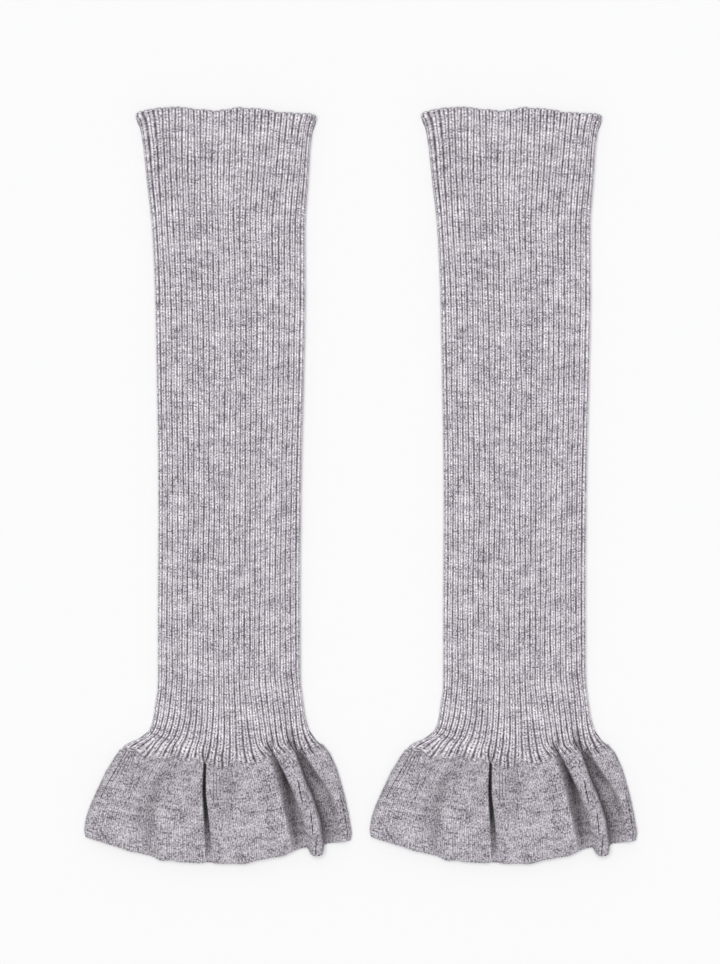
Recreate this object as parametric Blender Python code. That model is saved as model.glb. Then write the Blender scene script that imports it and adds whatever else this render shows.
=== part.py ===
"""A pair of knitted leg warmers, laid flat side by side.

Each leg is a ribbed tube that runs on into a plain-knit flounce at the ankle. Both are walls
of cloth, pressed flat: the front layer carries the ribs and folds, and the back layer rests
on the surface. Each wall is lofted through rings, from one edge line of the leg to the next.

Places on a leg are given in millimetres as across (from the leg's centre line, + to the right),
down (from the top edge's highest point towards the ankle) and height (above the surface).
In the scene across runs along +X, down along -Y and height along +Z.
"""

from collections import namedtuple
import math

import bmesh
import bpy
import numpy as np

# Driving dimensions, in millimetres
LENGTH = 430.0          # from the top edge to the hem's lowest point
LEG_PITCH = 161.7       # from one leg's centre line to the other's
RIBS = 28               # ribs side by side on the front of a tube
RIB_WALL = 2.6          # front wall of the tube at a rib's crest
GROOVE_WALL = 1.3       # the same between two ribs
BACK_WALL = 2.2         # the tube's back layer
FLOUNCE_WALL = 1.4      # both layers of the flounce
LAYER_GAP = 0.4         # air between the front and back layers where they lie together
SEAM_GAP = 0.3          # between the tube's last course and the flounce's first
CORNER_DROOP = 2.3      # how far the top edge dips at its two corners
CORNER_REACH = 5.0      # and over what width

TUBE_HEIGHT = BACK_WALL + LAYER_GAP + RIB_WALL
RIM_HEIGHT = TUBE_HEIGHT    # the flounce's height where its side edges fold round
MILLIMETRE = 0.001

# Lines across a leg: how far down each lies, at seven even steps from the left edge to the right.
Line = namedtuple("Line", "left left_in left_mid middle right_mid right_in right")
TOP_EDGE = Line(1.9, 0.0, 1.0, 1.2, 0.5, 2.7, 3.0)
SEAM = Line(365.0, 368.7, 371.0, 373.5, 373.0, 365.9, 361.9)
HEM = Line(414.9, 422.3, 428.0, LENGTH, 427.4, 420.6, 416.8)

# Side edges, where along is 0 at the upper line of the piece and 1 at its lower line.
Edge = namedtuple("Edge", "along left right")
TUBE_EDGES = [
    Edge(0.000, -53.5, 49.6),
    Edge(0.008, -53.6, 49.7),
    Edge(0.022, -50.9, 47.9),
    Edge(0.045, -49.6, 46.6),
    Edge(0.100, -47.1, 45.3),
    Edge(0.180, -44.1, 43.9),
    Edge(0.280, -42.5, 43.3),
    Edge(0.420, -41.3, 42.5),
    Edge(0.600, -40.6, 41.1),
    Edge(0.780, -40.8, 40.6),
    Edge(0.900, -40.9, 40.6),
    Edge(0.930, -42.5, 41.4),
    Edge(0.955, -44.2, 43.1),
    Edge(0.975, -49.2, 45.6),
    Edge(1.000, -62.5, 53.0),
]
FLOUNCE_EDGES = [
    Edge(0.000, -62.5, 53.0),
    Edge(0.163, -67.6, 58.0),
    Edge(0.345, -72.4, 62.5),
    Edge(0.528, -76.6, 65.3),
    Edge(0.690, -79.9, 67.2),
    Edge(0.823, -81.7, 68.5),
    Edge(0.923, -82.3, 69.3),
    Edge(1.000, -81.4, 68.6),
]

# The flounce's folds from left to right: where each crest or hollow runs across the front, and how
# high the cloth stands there, at the seam, a third and two thirds down, and at the hem. A fold's
# drop is how far its end reaches below the hem line.
Fold = namedtuple("Fold", "name across height drop")
FOLDS = [
    Fold("left shoulder", (-58.0, -67.6, -75.0, -77.3), (5.2, 6.6, 6.4, 5.4), 0.0),
    Fold("left panel", (-45.0, -50.6, -55.2, -56.3), (5.8, 8.0, 8.2, 6.6), 0.0),
    Fold("left dip", (-27.9, -30.8, -33.6, -34.8), (4.8, 5.6, 6.8, 6.0), 0.0),
    Fold("crease, left lip", (-16.6, -15.8, -15.5, -16.6), (6.0, 8.2, 7.8, 6.4), 0.0),
    Fold("crease", (-14.2, -13.8, -13.2, -12.1), (3.4, 3.2, 3.5, 4.6), 0.0),
    Fold("crease, right lip", (-11.8, -11.5, -10.7, -7.5), (6.2, 8.6, 7.8, 6.4), 0.0),
    Fold("middle dip", (-4.1, -3.0, 0.4, 3.8), (4.8, 6.2, 6.8, 6.2), 0.0),
    Fold("middle panel", (8.9, 12.9, 18.5, 21.9), (5.8, 7.8, 8.4, 7.0), 0.0),
    Fold("hollow's far bank", (20.2, 25.9, 31.0, 34.4), (5.4, 7.2, 7.8, 6.4), 0.0),
    Fold("hollow left of ridge", (25.3, 32.4, 38.7, 42.3), (3.6, 3.3, 3.3, 3.8), 0.0),
    Fold("ridge, left edge", (27.9, 35.8, 42.6, 46.6), (5.6, 9.4, 10.2, 9.0), 4.0),
    Fold("ridge, crest", (31.0, 39.5, 46.6, 50.0), (6.2, 10.8, 12.0, 10.4), 4.6),
    Fold("ridge, right edge", (34.1, 43.2, 49.7, 53.1), (5.6, 9.6, 10.6, 9.2), 4.4),
    Fold("hollow right of ridge", (37.8, 46.9, 52.6, 55.4), (3.6, 3.3, 3.3, 3.6), 0.0),
    Fold("right panel", (44.6, 54.8, 61.1, 63.9), (5.8, 8.0, 7.6, 6.4), 0.0),
]

# Rings of each wall, as shares of its way down
TUBE_RINGS = (
    0.0, 0.008, 0.02, 0.035, 0.06, 0.10, 0.20, 0.42, 0.70, 0.90, 0.93, 0.95, 0.965, 0.98, 0.99, 1.0
)
FLOUNCE_RINGS = (0.0, 0.06, 0.14, 0.24, 0.35, 0.47, 0.60, 0.72, 0.84, 0.93, 1.0)

RIB_CREST_FROM = 0.3    # a rib's flat crest, as shares of its width
RIB_CREST_TO = 0.7
POINTS_PER_FOLD = 3     # steps from one fold to the next
UNDERSIDE_STEPS = 10    # steps across the underside
RIM_ANGLES = (28.0, 60.0)   # further points round a side edge, in degrees from its outermost point

# Cool grey marl yarn
MARL_GREY = (0.46, 0.43, 0.47)
YARN_ROUGHNESS = 0.92


def smooth(keys, values, at):
    """Values between the keys, on a monotone cubic: no point passes its neighbours' values."""
    keys, values, at = (np.asarray(each, dtype=float) for each in (keys, values, at))
    step = np.diff(keys)
    slope = np.diff(values) / step
    tangent = np.concatenate(([slope[0]], np.zeros(len(keys) - 2), [slope[-1]]))
    for index in range(1, len(keys) - 1):
        before, after = slope[index - 1], slope[index]
        if before * after > 0:
            weight_before = 2 * step[index] + step[index - 1]
            weight_after = step[index] + 2 * step[index - 1]
            total = weight_before + weight_after
            tangent[index] = total / (weight_before / before + weight_after / after)
    cell = np.clip(np.searchsorted(keys, at, side="right") - 1, 0, len(step) - 1)
    width = step[cell]
    t = np.clip((at - keys[cell]) / width, 0.0, 1.0)
    start = values[cell] * (1 + 2 * t) * (1 - t) ** 2 + tangent[cell] * width * t * (1 - t) ** 2
    end = values[cell + 1] * t ** 2 * (3 - 2 * t) + tangent[cell + 1] * width * t ** 2 * (t - 1)
    return start + end


def line_down(line, share):
    """How far down a line lies at a share of the way from its left edge to its right."""
    return smooth(np.linspace(0.0, 1.0, len(line)), line, share)


def side_edges(edges, along):
    """The left and right edges of a piece at a share of its way down."""
    keys = [edge.along for edge in edges]
    left = float(smooth(keys, [edge.left for edge in edges], along))
    right = float(smooth(keys, [edge.right for edge in edges], along))
    return left, right


def top_down(share, left, right):
    """The top edge's depth, with its two corners drooping."""
    from_corner = np.minimum(share, 1.0 - share) * (right - left)
    droop = CORNER_DROOP * np.clip(1.0 - from_corner / CORNER_REACH, 0.0, 1.0) ** 2
    return line_down(TOP_EDGE, share) + droop


def rim(inset, radius):
    """How far round a folded side edge a point lies: 0 at its outermost point, 1 on the flat."""
    return np.sqrt(1.0 - np.clip(1.0 - inset / radius, 0.0, 1.0) ** 2)


def underside(left, right, radius, floor):
    """The lower half of a ring, from the right edge to the left, with its middle on a flat."""
    turn = radius * (1.0 - math.cos(math.radians(45.0)))
    flat = np.linspace(right - radius, left + radius, UNDERSIDE_STEPS + 1)
    across = np.concatenate(([right - turn], flat, [left + turn]))
    height = np.concatenate(([floor + turn], np.full(len(flat), floor), [floor + turn]))
    return np.column_stack((across, height))


def tube_ring(along):
    """Outer and inner loops of the tube, as rows of across and height, and its side edges."""
    left, right = side_edges(TUBE_EDGES, along)
    radius = TUBE_HEIGHT / 2
    pitch = (right - left) / RIBS
    relief = RIB_WALL - GROOVE_WALL
    front = []
    for rib in range(RIBS + 1):
        shares = (0.0, RIB_CREST_FROM, RIB_CREST_TO) if rib < RIBS else (0.0,)
        for share in shares:
            across = left + (rib + share) * pitch
            turned = rim(min(across - left, right - across), radius)
            crest = 0.0 if share == 0.0 else relief
            front.append((across, radius + (radius - relief + crest) * turned))
    outer = np.vstack((front, underside(left, right, radius, 0.0)))

    crest_middle = (RIB_CREST_FROM + RIB_CREST_TO) / 2
    middle_height = BACK_WALL + LAYER_GAP / 2
    top = [(left + (rib + crest_middle) * pitch, BACK_WALL + LAYER_GAP) for rib in range(1, RIBS - 1)]
    low = np.linspace(right - radius, left + radius, UNDERSIDE_STEPS + 1)
    bottom = [(across, BACK_WALL) for across in low]
    left_end = (left + BACK_WALL, middle_height)
    right_end = (right - BACK_WALL, middle_height)
    inner = np.array([left_end] + top + [right_end] + bottom)
    return outer, inner, left, right


def fold_keys(along, left, right):
    """Where the flounce's folds run across, how high they stand and how far they drop, here."""
    depths = np.linspace(0.0, 1.0, len(FOLDS[0].across))
    across = [left] + [float(smooth(depths, fold.across, along)) for fold in FOLDS] + [right]
    height = [float(smooth(depths, fold.height, along)) for fold in FOLDS]
    drop = [fold.drop * along ** 2 for fold in FOLDS]
    return across, [RIM_HEIGHT] + height + [RIM_HEIGHT], [0.0] + drop + [0.0]


def flounce_ring(along):
    """Outer and inner loops of the flounce, as rows of across and height, and its side edges."""
    left, right = side_edges(FLOUNCE_EDGES, along)
    keys, heights, _ = fold_keys(along, left, right)
    radius = RIM_HEIGHT / 2
    turns = radius * (1.0 - np.cos(np.radians(RIM_ANGLES)))
    spread = [np.linspace(a, b, POINTS_PER_FOLD, endpoint=False) for a, b in zip(keys[1:], keys[2:-1])]
    samples = np.concatenate(
        ([left], left + turns, [left + radius], *spread, [keys[-2], right - radius], right - turns[::-1], [right])
    )

    def front_height(across):
        turned = rim(np.minimum(across - left, right - across), radius)
        return radius + (smooth(keys, heights, across) - radius) * turned

    front = np.column_stack((samples, front_height(samples)))
    outer = np.vstack((front, underside(left, right, radius, 0.0)))

    # The inner face lies a wall's thickness in from every point of the outer one near it.
    share = (samples - left) / (right - left)
    inside = left + FLOUNCE_WALL + share * (right - left - 2 * FLOUNCE_WALL)
    reach = np.linspace(-FLOUNCE_WALL, FLOUNCE_WALL, 15)
    near = np.clip(inside[:, None] + reach[None, :], left, right)
    sunk = front_height(near) - np.sqrt(np.maximum(FLOUNCE_WALL ** 2 - reach ** 2, 0.0))
    top = np.column_stack((inside, sunk.min(axis=1)))
    low = np.linspace(right - radius, left + radius, UNDERSIDE_STEPS + 1)
    bottom = np.column_stack((low, np.full(len(low), FLOUNCE_WALL)))
    inner = np.vstack((top, bottom))
    return outer, inner, left, right


def tube_down(along, across, left, right, _front):
    """How far down the tube's points lie: its courses turn from the top edge into the seam."""
    share = (across - left) / (right - left)
    return top_down(share, left, right) * (1.0 - along) + line_down(SEAM, share) * along


def flounce_down(along, across, left, right, front):
    """How far down the flounce's points lie, with the ridge's front reaching past the hem."""
    share = (across - left) / (right - left)
    seam = line_down(SEAM, share) + SEAM_GAP
    keys, _, drops = fold_keys(along, left, right)
    drop = smooth(keys, drops, across) * front
    return seam * (1.0 - along) + line_down(HEM, share) * along + drop


def loft(ring, down, rings):
    """The outer and inner points of a wall, as arrays of rings by points by three axes."""
    walls = ([], [])
    for along in rings:
        outer, inner, left, right = ring(along)
        for wall, loop in zip(walls, (outer, inner)):
            turning = int(np.argmax(loop[:, 0]))
            front = np.arange(len(loop)) <= turning
            depth = down(along, loop[:, 0], left, right, front)
            wall.append(np.column_stack((loop[:, 0], LENGTH / 2 - depth, loop[:, 1])))
    return np.array(walls[0]), np.array(walls[1])


def loop_shares(loop, left, right):
    """Each point's share of the way round its ring: half over the front, half underneath."""
    turning = int(np.argmax(loop[:, 0]))
    shares = (loop[:, 0] - left) / (right - left) / 2
    shares[turning + 1:] = 1.0 - shares[turning + 1:]
    return np.append(shares, shares[0] + 1.0)


def add_cap(mesh, outer, inner, outer_shares, inner_shares):
    """Closes a wall between its two loops with triangles, taking the edge that comes next."""
    outer_edges = (outer_shares[:-1] + outer_shares[1:]) / 2
    inner_edges = (inner_shares[:-1] + inner_shares[1:]) / 2
    order = sorted([(share, 0) for share in outer_edges] + [(share, 1) for share in inner_edges])
    loops = (outer, inner)
    at = [0, 0]
    for _, side in order:
        here = [loop[index % len(loop)] for loop, index in zip(loops, at)]
        at[side] += 1
        mesh.faces.new((*here, loops[side][at[side] % len(loops[side])]))


def build_wall(name, ring, down, rings, centre, material):
    """One closed wall of cloth as an object, with its leg's centre line at X = centre."""
    mesh = bmesh.new()
    rows = []
    for points in loft(ring, down, rings):
        placed = (points + (centre, 0.0, 0.0)) * MILLIMETRE
        rows.append([[mesh.verts.new(point) for point in row] for row in placed])
    for wall in rows:
        for upper, lower in zip(wall, wall[1:]):
            for index in range(len(upper)):
                after = (index + 1) % len(upper)
                mesh.faces.new((upper[index], upper[after], lower[after], lower[index]))
    for end, along in ((0, rings[0]), (-1, rings[-1])):
        outer, inner, left, right = ring(along)
        shares = [loop_shares(loop, left, right) for loop in (outer, inner)]
        add_cap(mesh, rows[0][end], rows[1][end], *shares)
    bmesh.ops.recalc_face_normals(mesh, faces=mesh.faces)

    data = bpy.data.meshes.new(name)
    mesh.to_mesh(data)
    mesh.free()
    data.materials.append(material)
    data.shade_smooth()
    data.set_sharp_from_angle(angle=math.radians(50.0))
    wall_object = bpy.data.objects.new(name, data)
    bpy.context.scene.collection.objects.link(wall_object)
    return wall_object


def make_yarn(name):
    """The yarn's material."""
    material = bpy.data.materials.new(name)
    material.use_nodes = True
    shader = material.node_tree.nodes["Principled BSDF"]
    shader.inputs["Base Color"].default_value = (*MARL_GREY, 1.0)
    shader.inputs["Roughness"].default_value = YARN_ROUGHNESS
    shader.inputs["Metallic"].default_value = 0.0
    return material


def main():
    for old in list(bpy.data.objects):
        bpy.data.objects.remove(old)
    widest_left = min(edge.left for edge in FLOUNCE_EDGES)
    widest_right = max(edge.right for edge in FLOUNCE_EDGES)
    first_centre = -(LEG_PITCH + widest_left + widest_right) / 2
    for index, leg in enumerate(("left_leg", "right_leg")):
        centre = first_centre + index * LEG_PITCH
        tube = leg + "_ribbed_tube"
        flounce = leg + "_flounce"
        build_wall(tube, tube_ring, tube_down, TUBE_RINGS, centre, make_yarn(tube))
        build_wall(flounce, flounce_ring, flounce_down, FLOUNCE_RINGS, centre, make_yarn(flounce))


main()
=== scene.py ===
"""Looks of a pair of ribbed leg warmers with a plain-knit flounce, laid flat side by side.

Each CAD node is replaced by a closed shell of knitted cloth on the same form. A shell is built in
rows, two or four to a course of stitches, and in columns, a few to each wale, so that every stitch
of the front is in the mesh. Finer detail than that, down to the fibres, is in the yarn's material.

Places on a leg are in millimetres, as in the CAD: across (from the leg's centre line, + to the
right), down (from the top edge's highest point) and height (above the surface it lies on).
In the scene across runs along +X, down along -Y and height along +Z. On a shell, u counts wales
from the front's left edge to its right and back again behind, and v counts courses downwards. A
wale of the tube is a whole rib, from groove to groove.
"""

from collections import namedtuple
from functools import reduce
import math

import bpy
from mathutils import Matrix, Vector
import numpy as np


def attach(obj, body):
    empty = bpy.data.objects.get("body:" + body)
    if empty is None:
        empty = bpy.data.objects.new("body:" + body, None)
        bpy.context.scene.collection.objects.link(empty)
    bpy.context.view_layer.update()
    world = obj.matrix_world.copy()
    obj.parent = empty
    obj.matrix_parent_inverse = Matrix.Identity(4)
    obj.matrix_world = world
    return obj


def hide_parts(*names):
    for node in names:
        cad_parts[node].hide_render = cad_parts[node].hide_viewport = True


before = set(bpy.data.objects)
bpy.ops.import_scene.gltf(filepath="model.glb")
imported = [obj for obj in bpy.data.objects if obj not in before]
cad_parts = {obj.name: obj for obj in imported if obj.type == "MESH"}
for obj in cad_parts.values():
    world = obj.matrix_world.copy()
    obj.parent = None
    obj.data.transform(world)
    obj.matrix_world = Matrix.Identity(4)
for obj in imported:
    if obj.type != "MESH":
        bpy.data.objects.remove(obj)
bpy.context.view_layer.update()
scene = bpy.context.scene

MILLIMETRE = 0.001

# Sizes that the CAD has too, in millimetres
LENGTH = 430.0
LEG_PITCH = 161.7
RIBS = 28
GROOVE_DEPTH = 1.3
BACK_WALL = 2.2
LAYER_GAP = 0.4
TUBE_HEIGHT = 5.2
FLOUNCE_WALL = 1.4
CORNER_DROOP = 2.3
CORNER_REACH = 5.0
HALF_HEIGHT = TUBE_HEIGHT / 2

# How far down a line across a leg lies, at even steps from its left edge to its right
Line = namedtuple("Line", "left left_in left_mid middle right_mid right_in right")
TOP_EDGE = Line(1.9, 0.0, 1.0, 1.2, 0.5, 2.7, 3.0)
SEAM = Line(365.15, 368.85, 371.15, 373.65, 373.15, 366.05, 362.05)
HEM = Line(414.9, 422.3, 428.0, LENGTH, 427.4, 420.6, 416.8)

# Where a piece's side edges lie across, at shares of the way down it
Edge = namedtuple("Edge", "along left right")
TUBE_EDGES = [Edge(*row) for row in (
    (0.000, -53.4, 49.6),
    (0.006, -53.2, 49.5),
    (0.012, -51.7, 48.4),
    (0.022, -50.6, 47.3),
    (0.045, -49.2, 46.1),
    (0.100, -47.1, 44.8),
    (0.180, -44.0, 43.0),
    (0.280, -42.4, 43.1),
    (0.420, -41.3, 42.2),
    (0.600, -40.4, 40.7),
    (0.780, -40.7, 40.2),
    (0.900, -40.7, 40.4),
    (0.930, -42.2, 41.4),
    (0.955, -43.4, 43.0),
    (0.975, -47.3, 45.4),
    (0.982, -51.8, 46.4),
    (0.988, -57.0, 48.0),
    (0.994, -60.2, 50.5),
    (1.000, -62.3, 53.0),
)]
FLOUNCE_EDGES = [Edge(*row) for row in (
    (0.000, -62.3, 53.0),
    (0.080, -65.2, 56.6),
    (0.163, -67.6, 58.9),
    (0.250, -70.2, 60.9),
    (0.345, -72.4, 62.5),
    (0.528, -76.6, 65.3),
    (0.690, -79.9, 67.2),
    (0.823, -81.7, 68.5),
    (0.923, -82.3, 69.3),
    (1.000, -81.4, 68.6),
)]

# Where an edge dips lower or rises higher than its line: how far, at its most, and over what width
Wave = namedtuple("Wave", "across drop width")
TOP_WAVES = (
    Wave(-46.0, 0.3, 3.0),
    Wave(-27.0, -0.7, 5.5),
    Wave(-8.0, 0.7, 4.2),
    Wave(4.6, -1.1, 4.0),
    Wave(27.0, 0.5, 2.6),
    Wave(43.0, 0.4, 8.0),
)
HEM_WAVES = (
    Wave(-57.0, 0.5, 3.5),
    Wave(-38.5, 1.3, 3.5),
    Wave(-28.0, 0.5, 4.0),
    Wave(-11.5, -1.1, 3.2),
    Wave(8.5, 1.1, 4.5),
    Wave(30.5, 1.1, 4.5),
)

# The flounce's folds from left to right: where each lies across and how high, at the seam, at each
# quarter of the way down and at the hem, and how far it pulls the hem down, if it does
Fold = namedtuple("Fold", "name across height drop", defaults=(0.0,))
FOLDS = [Fold(*row) for row in (
    ("left shoulder", (-58.0, -65.5, -72.0, -76.0, -77.3), (5.2, 6.4, 6.6, 6.2, 5.4)),
    ("left panel", (-45.0, -49.5, -53.0, -55.8, -56.3), (5.4, 7.8, 8.2, 7.8, 6.6)),
    ("left dip's far bank", (-39.0, -45.5, -49.4, -51.6, -51.0), (4.9, 6.8, 7.4, 7.2, 6.5)),
    ("left dip", (-34.0, -40.2, -44.0, -46.0, -45.0), (4.0, 3.9, 4.6, 4.6, 5.0)),
    ("left dip's near bank", (-28.5, -34.4, -38.4, -40.0, -39.4), (4.9, 6.8, 7.5, 7.2, 6.5)),
    ("left swell", (-24.0, -24.5, -26.0, -27.0, -27.0), (5.4, 8.0, 8.4, 8.0, 6.6)),
    ("crease, left lip", (-16.2, -17.4, -16.8, -16.4, -15.2), (6.3, 8.4, 8.2, 7.2, 6.4)),
    ("crease, left wall", (-14.6, -15.2, -14.6, -13.9, -13.0), (5.9, 8.0, 7.4, 6.3, 6.0)),
    ("crease, bottom left", (-14.1, -14.7, -13.8, -12.8, -12.2), (2.0, 2.4, 2.8, 3.8, 5.6)),
    ("crease, bottom right", (-13.4, -13.6, -12.4, -11.5, -11.3), (2.0, 2.4, 2.8, 3.8, 5.6)),
    ("crease, right wall", (-12.9, -13.1, -11.7, -10.2, -9.8), (5.9, 8.2, 7.4, 6.2, 6.0)),
    ("crease, right lip", (-10.8, -11.2, -10.2, -8.6, -7.6), (6.3, 8.8, 8.3, 7.0, 6.3)),
    ("middle dip", (-2.4, -1.4, -0.6, 1.0, 3.4), (4.4, 5.4, 7.2, 7.6, 6.6)),
    ("middle panel", (8.9, 11.9, 15.5, 19.5, 21.9), (5.8, 7.9, 8.4, 8.0, 7.0)),
    ("hollow's far bank", (22.4, 26.8, 30.2, 33.2, 35.6), (6.0, 7.6, 8.4, 8.6, 6.4)),
    ("hollow's near bank", (24.2, 29.4, 32.2, 34.9, 37.4), (3.0, 3.6, 3.7, 4.2, 5.2)),
    ("hollow left of ridge", (25.6, 31.2, 34.5, 36.8, 39.6), (2.0, 2.3, 2.1, 2.2, 4.0)),
    ("ridge, left foot", (26.6, 32.3, 37.0, 40.6, 44.0), (2.2, 2.6, 3.4, 4.8, 5.4)),
    ("ridge, left edge", (27.4, 33.6, 39.7, 44.4, 47.0), (6.4, 8.6, 9.6, 9.6, 8.2), 5.2),
    ("ridge, crest", (32.6, 38.7, 43.3, 47.2, 49.6), (7.2, 10.8, 11.8, 11.6, 10.0), 6.0),
    ("ridge, right edge", (36.9, 41.5, 46.9, 51.2, 52.8), (6.2, 9.6, 10.4, 10.0, 8.8), 5.6),
    ("ridge, right foot", (37.8, 42.6, 48.1, 52.2, 54.0), (2.3, 3.1, 3.2, 3.3, 4.2), 0.4),
    ("hollow right of ridge", (39.0, 45.0, 51.0, 54.9, 56.2), (2.0, 2.6, 2.6, 2.5, 3.0)),
    ("right panel's foot", (40.4, 47.9, 55.6, 59.2, 59.8), (2.6, 2.2, 2.4, 2.7, 3.8)),
    ("right panel", (42.2, 49.9, 58.3, 62.8, 63.8), (6.4, 7.9, 7.7, 7.3, 6.5)),
)]


def smooth(keys, values, at):
    """Values between the keys, on a monotone cubic: no point passes its neighbours' values."""
    keys, values, at = (np.asarray(each, dtype=float) for each in (keys, values, at))
    step = np.diff(keys)
    slope = np.diff(values) / step
    before, after = slope[:-1], slope[1:]
    turning = before * after <= 0
    before, after = np.where(turning, 1.0, before), np.where(turning, 1.0, after)
    weight_before = 2 * step[1:] + step[:-1]
    weight_after = step[1:] + 2 * step[:-1]
    mean = (weight_before + weight_after) / (weight_before / before + weight_after / after)
    tangent = np.concatenate((slope[:1], np.where(turning, 0.0, mean), slope[-1:]))
    cell = np.clip(np.searchsorted(keys, at, side="right") - 1, 0, len(step) - 1)
    width = step[cell]
    t = np.clip((at - keys[cell]) / width, 0.0, 1.0)
    start = values[cell] * (1 + 2 * t) * (1 - t) ** 2 + tangent[cell] * width * t * (1 - t) ** 2
    end = values[cell + 1] * t ** 2 * (3 - 2 * t) + tangent[cell + 1] * width * t ** 2 * (t - 1)
    return start + end


def mix(start, end, share):
    """The value at a share of the way from one value to another."""
    return start + (end - start) * share


def share_of(place, left, right):
    """How far a place lies from left to right, as a share of the way."""
    return (place - left) / (right - left)


def at_share(values, share):
    """The value at a share of the way along even steps, such as those of a Line."""
    return smooth(np.linspace(0.0, 1.0, len(values)), values, share)


def ripple(waves, across):
    """How far down the waves of an edge take it at each place across."""
    return sum(wave.drop * np.exp(-((across - wave.across) / wave.width) ** 2) for wave in waves)


def side_edges(edges, along):
    """The left and right edges of a piece at a share of the way down it."""
    keys = [edge.along for edge in edges]
    left = smooth(keys, [edge.left for edge in edges], along)
    right = smooth(keys, [edge.right for edge in edges], along)
    return left, right


def rim(across, left, right):
    """How far round a folded side edge a point lies: 0 at its outermost point, 1 on the flat."""
    inset = np.minimum(across - left, right - across)
    return np.sqrt(1.0 - np.clip(1.0 - inset / HALF_HEIGHT, 0.0, 1.0) ** 2)


def ease(t):
    """0 before t = 0, 1 after t = 1, and smooth between."""
    t = np.clip(t, 0.0, 1.0)
    return t * t * (3 - 2 * t)


def off_side(u, count):
    """How far a place lies from the nearer end of so many wales."""
    return np.minimum(u, count - u)


def inward(u, count, reach):
    """0 at either end of so many wales, 1 where a place lies that far in, and smooth between."""
    return ease(off_side(u, count) / reach)


def most(*values):
    """The greatest of several values at each point."""
    return reduce(np.maximum, values)


# A rise along a leg: where it begins, over what distance it comes up and how strong it gets
Rise = namedtuple("Rise", "begin width strength")


def risen(rise, at):
    """How strong a rise has become at a place."""
    return rise.strength * ease((at - rise.begin) / rise.width)


def wander(seed, x, y):
    """A smooth random field from -1 to 1 that changes over about one unit of x and of y."""
    x, y = np.broadcast_arrays(np.asarray(x, dtype=float), np.asarray(y, dtype=float))
    size = 128
    table = np.random.default_rng(seed).uniform(-1.0, 1.0, (size, size))
    column = np.floor(x).astype(int)
    row = np.floor(y).astype(int)
    ends = []
    for line in (row % size, (row + 1) % size):
        ends.append(mix(table[column % size, line], table[(column + 1) % size, line], ease(x - column)))
    return mix(*ends, ease(y - row))


# Unevenness of the knit: its random seed, its size, and how many wales and courses it spans
Uneven = namedtuple("Uneven", "seed size wales courses")


def uneven(parts, u, v):
    """The sum of several kinds of unevenness over a grid of wales and courses."""
    v = v[:, None]
    return sum(size * wander(seed, u / wales, v / courses) for seed, size, wales, courses in parts)


# Shells

Faces = namedtuple("Faces", "points stitches bake flat")
# shade and line darken a layer's colour, mostly as painted shade in hollows, creases, gaps and between
# wales
Layer = namedtuple("Layer", "points shade line u v")

# The bake's map has islands side by side for the front, the back and the inside
BAKE_FRONT = (0.0, 0.56)
BAKE_BACK = (0.56, 0.84)
BAKE_INSIDE = (0.84, 1.0)
BAKE_MARGIN = 0.004
BACK_STEP = 4  # rows of a front to one of its back
ROLL_ANGLES = (35.0, 65.0, 90.0, 115.0, 145.0)
FIRST_SLANT = 3  # over how many courses from the top the rows become V-shaped


class Shell:
    """A closed shell of cloth in the making: its points and faces, with each corner's two maps."""

    def __init__(self):
        self.points, self.shade, self.line, self.faces = [], [], [], []
        self.count = 0

    def add_points(self, points, shade=0.0, line=0.0):
        """Adds points and returns their numbers, in the same layout."""
        layout = points.shape[:-1]
        numbers = self.count + np.arange(int(np.prod(layout))).reshape(layout)
        self.points.append(points.reshape(-1, 3))
        self.shade.append(np.broadcast_to(shade, layout).ravel())
        self.line.append(np.broadcast_to(line, layout).ravel())
        self.count += numbers.size
        return numbers

    def add_faces(self, faces, numbers, stitches, bake, flat=False):
        """Adds faces, given as places in the flat lists of point numbers and of their two maps."""
        corners = (numbers.ravel(), stitches.reshape(-1, 2), bake.reshape(-1, 2))
        self.faces.append(Faces(*(values[faces] for values in corners), flat))

    def add_grid(self, numbers, stitches, bake, turned=False):
        """Adds the quads of a grid of points, and has them face the other way if turned."""
        places = np.arange(numbers.size).reshape(numbers.shape)
        quads = np.stack((places[:-1, :-1], places[1:, :-1], places[1:, 1:], places[:-1, 1:]), axis=-1)
        order = slice(None, None, -1 if turned else 1)
        self.add_faces(quads.reshape(-1, 4), numbers[order], stitches[order], bake[order])


def strip_faces(anchors, turned):
    """Triangles between a fine line of points and a coarse one, as places in a list of both.

    anchors says beside which fine point each coarse one lies. The triangles face the other way
    if turned.
    """
    coarse = anchors[-1] + 1
    faces = []
    for index in range(len(anchors) - 1):
        start, end = anchors[index], anchors[index + 1]
        middle = (start + end) // 2
        for place in range(start, end):
            faces.append((place, coarse + index + (place >= middle), place + 1))
        faces.append((coarse + index, coarse + index + 1, middle))
    faces = np.array(faces)
    return faces[:, ::-1] if turned else faces


def stacked(*values):
    """Coordinates as one array of places."""
    return np.stack(np.broadcast_arrays(*values), axis=-1)


def fitted(u, v, left, right):
    """Places in the bake's map: u and v as shares of an island between left and right."""
    across = mix(left + BAKE_MARGIN, right - BAKE_MARGIN, u)
    return stacked(across, mix(BAKE_MARGIN, 1 - BAKE_MARGIN, v))


def closed(rings, axis=-1):
    """Rings of values, each with its first one again at its end."""
    return np.concatenate((rings, rings.take([0], axis)), axis)


def columns(count, places):
    """The places of columns in so many wales, or of rows in so many courses, and the last end."""
    return np.append(np.add.outer(np.arange(count), places).ravel(), count)


def repeated(count, values):
    """One value for each of those columns or rows."""
    return np.append(np.tile(values, count), values[0])


def lowered(grid, shift):
    """A grid whose points have slid along their wales, by so many rows each."""
    rows, wales = grid.shape[:2]
    at = np.clip(np.arange(rows)[:, None] + shift, 0, rows - 1)
    upper = np.minimum(np.floor(at).astype(int), rows - 2)
    column = np.arange(wales)
    return mix(grid[upper, column], grid[upper + 1, column], (at - upper)[..., None])


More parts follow.
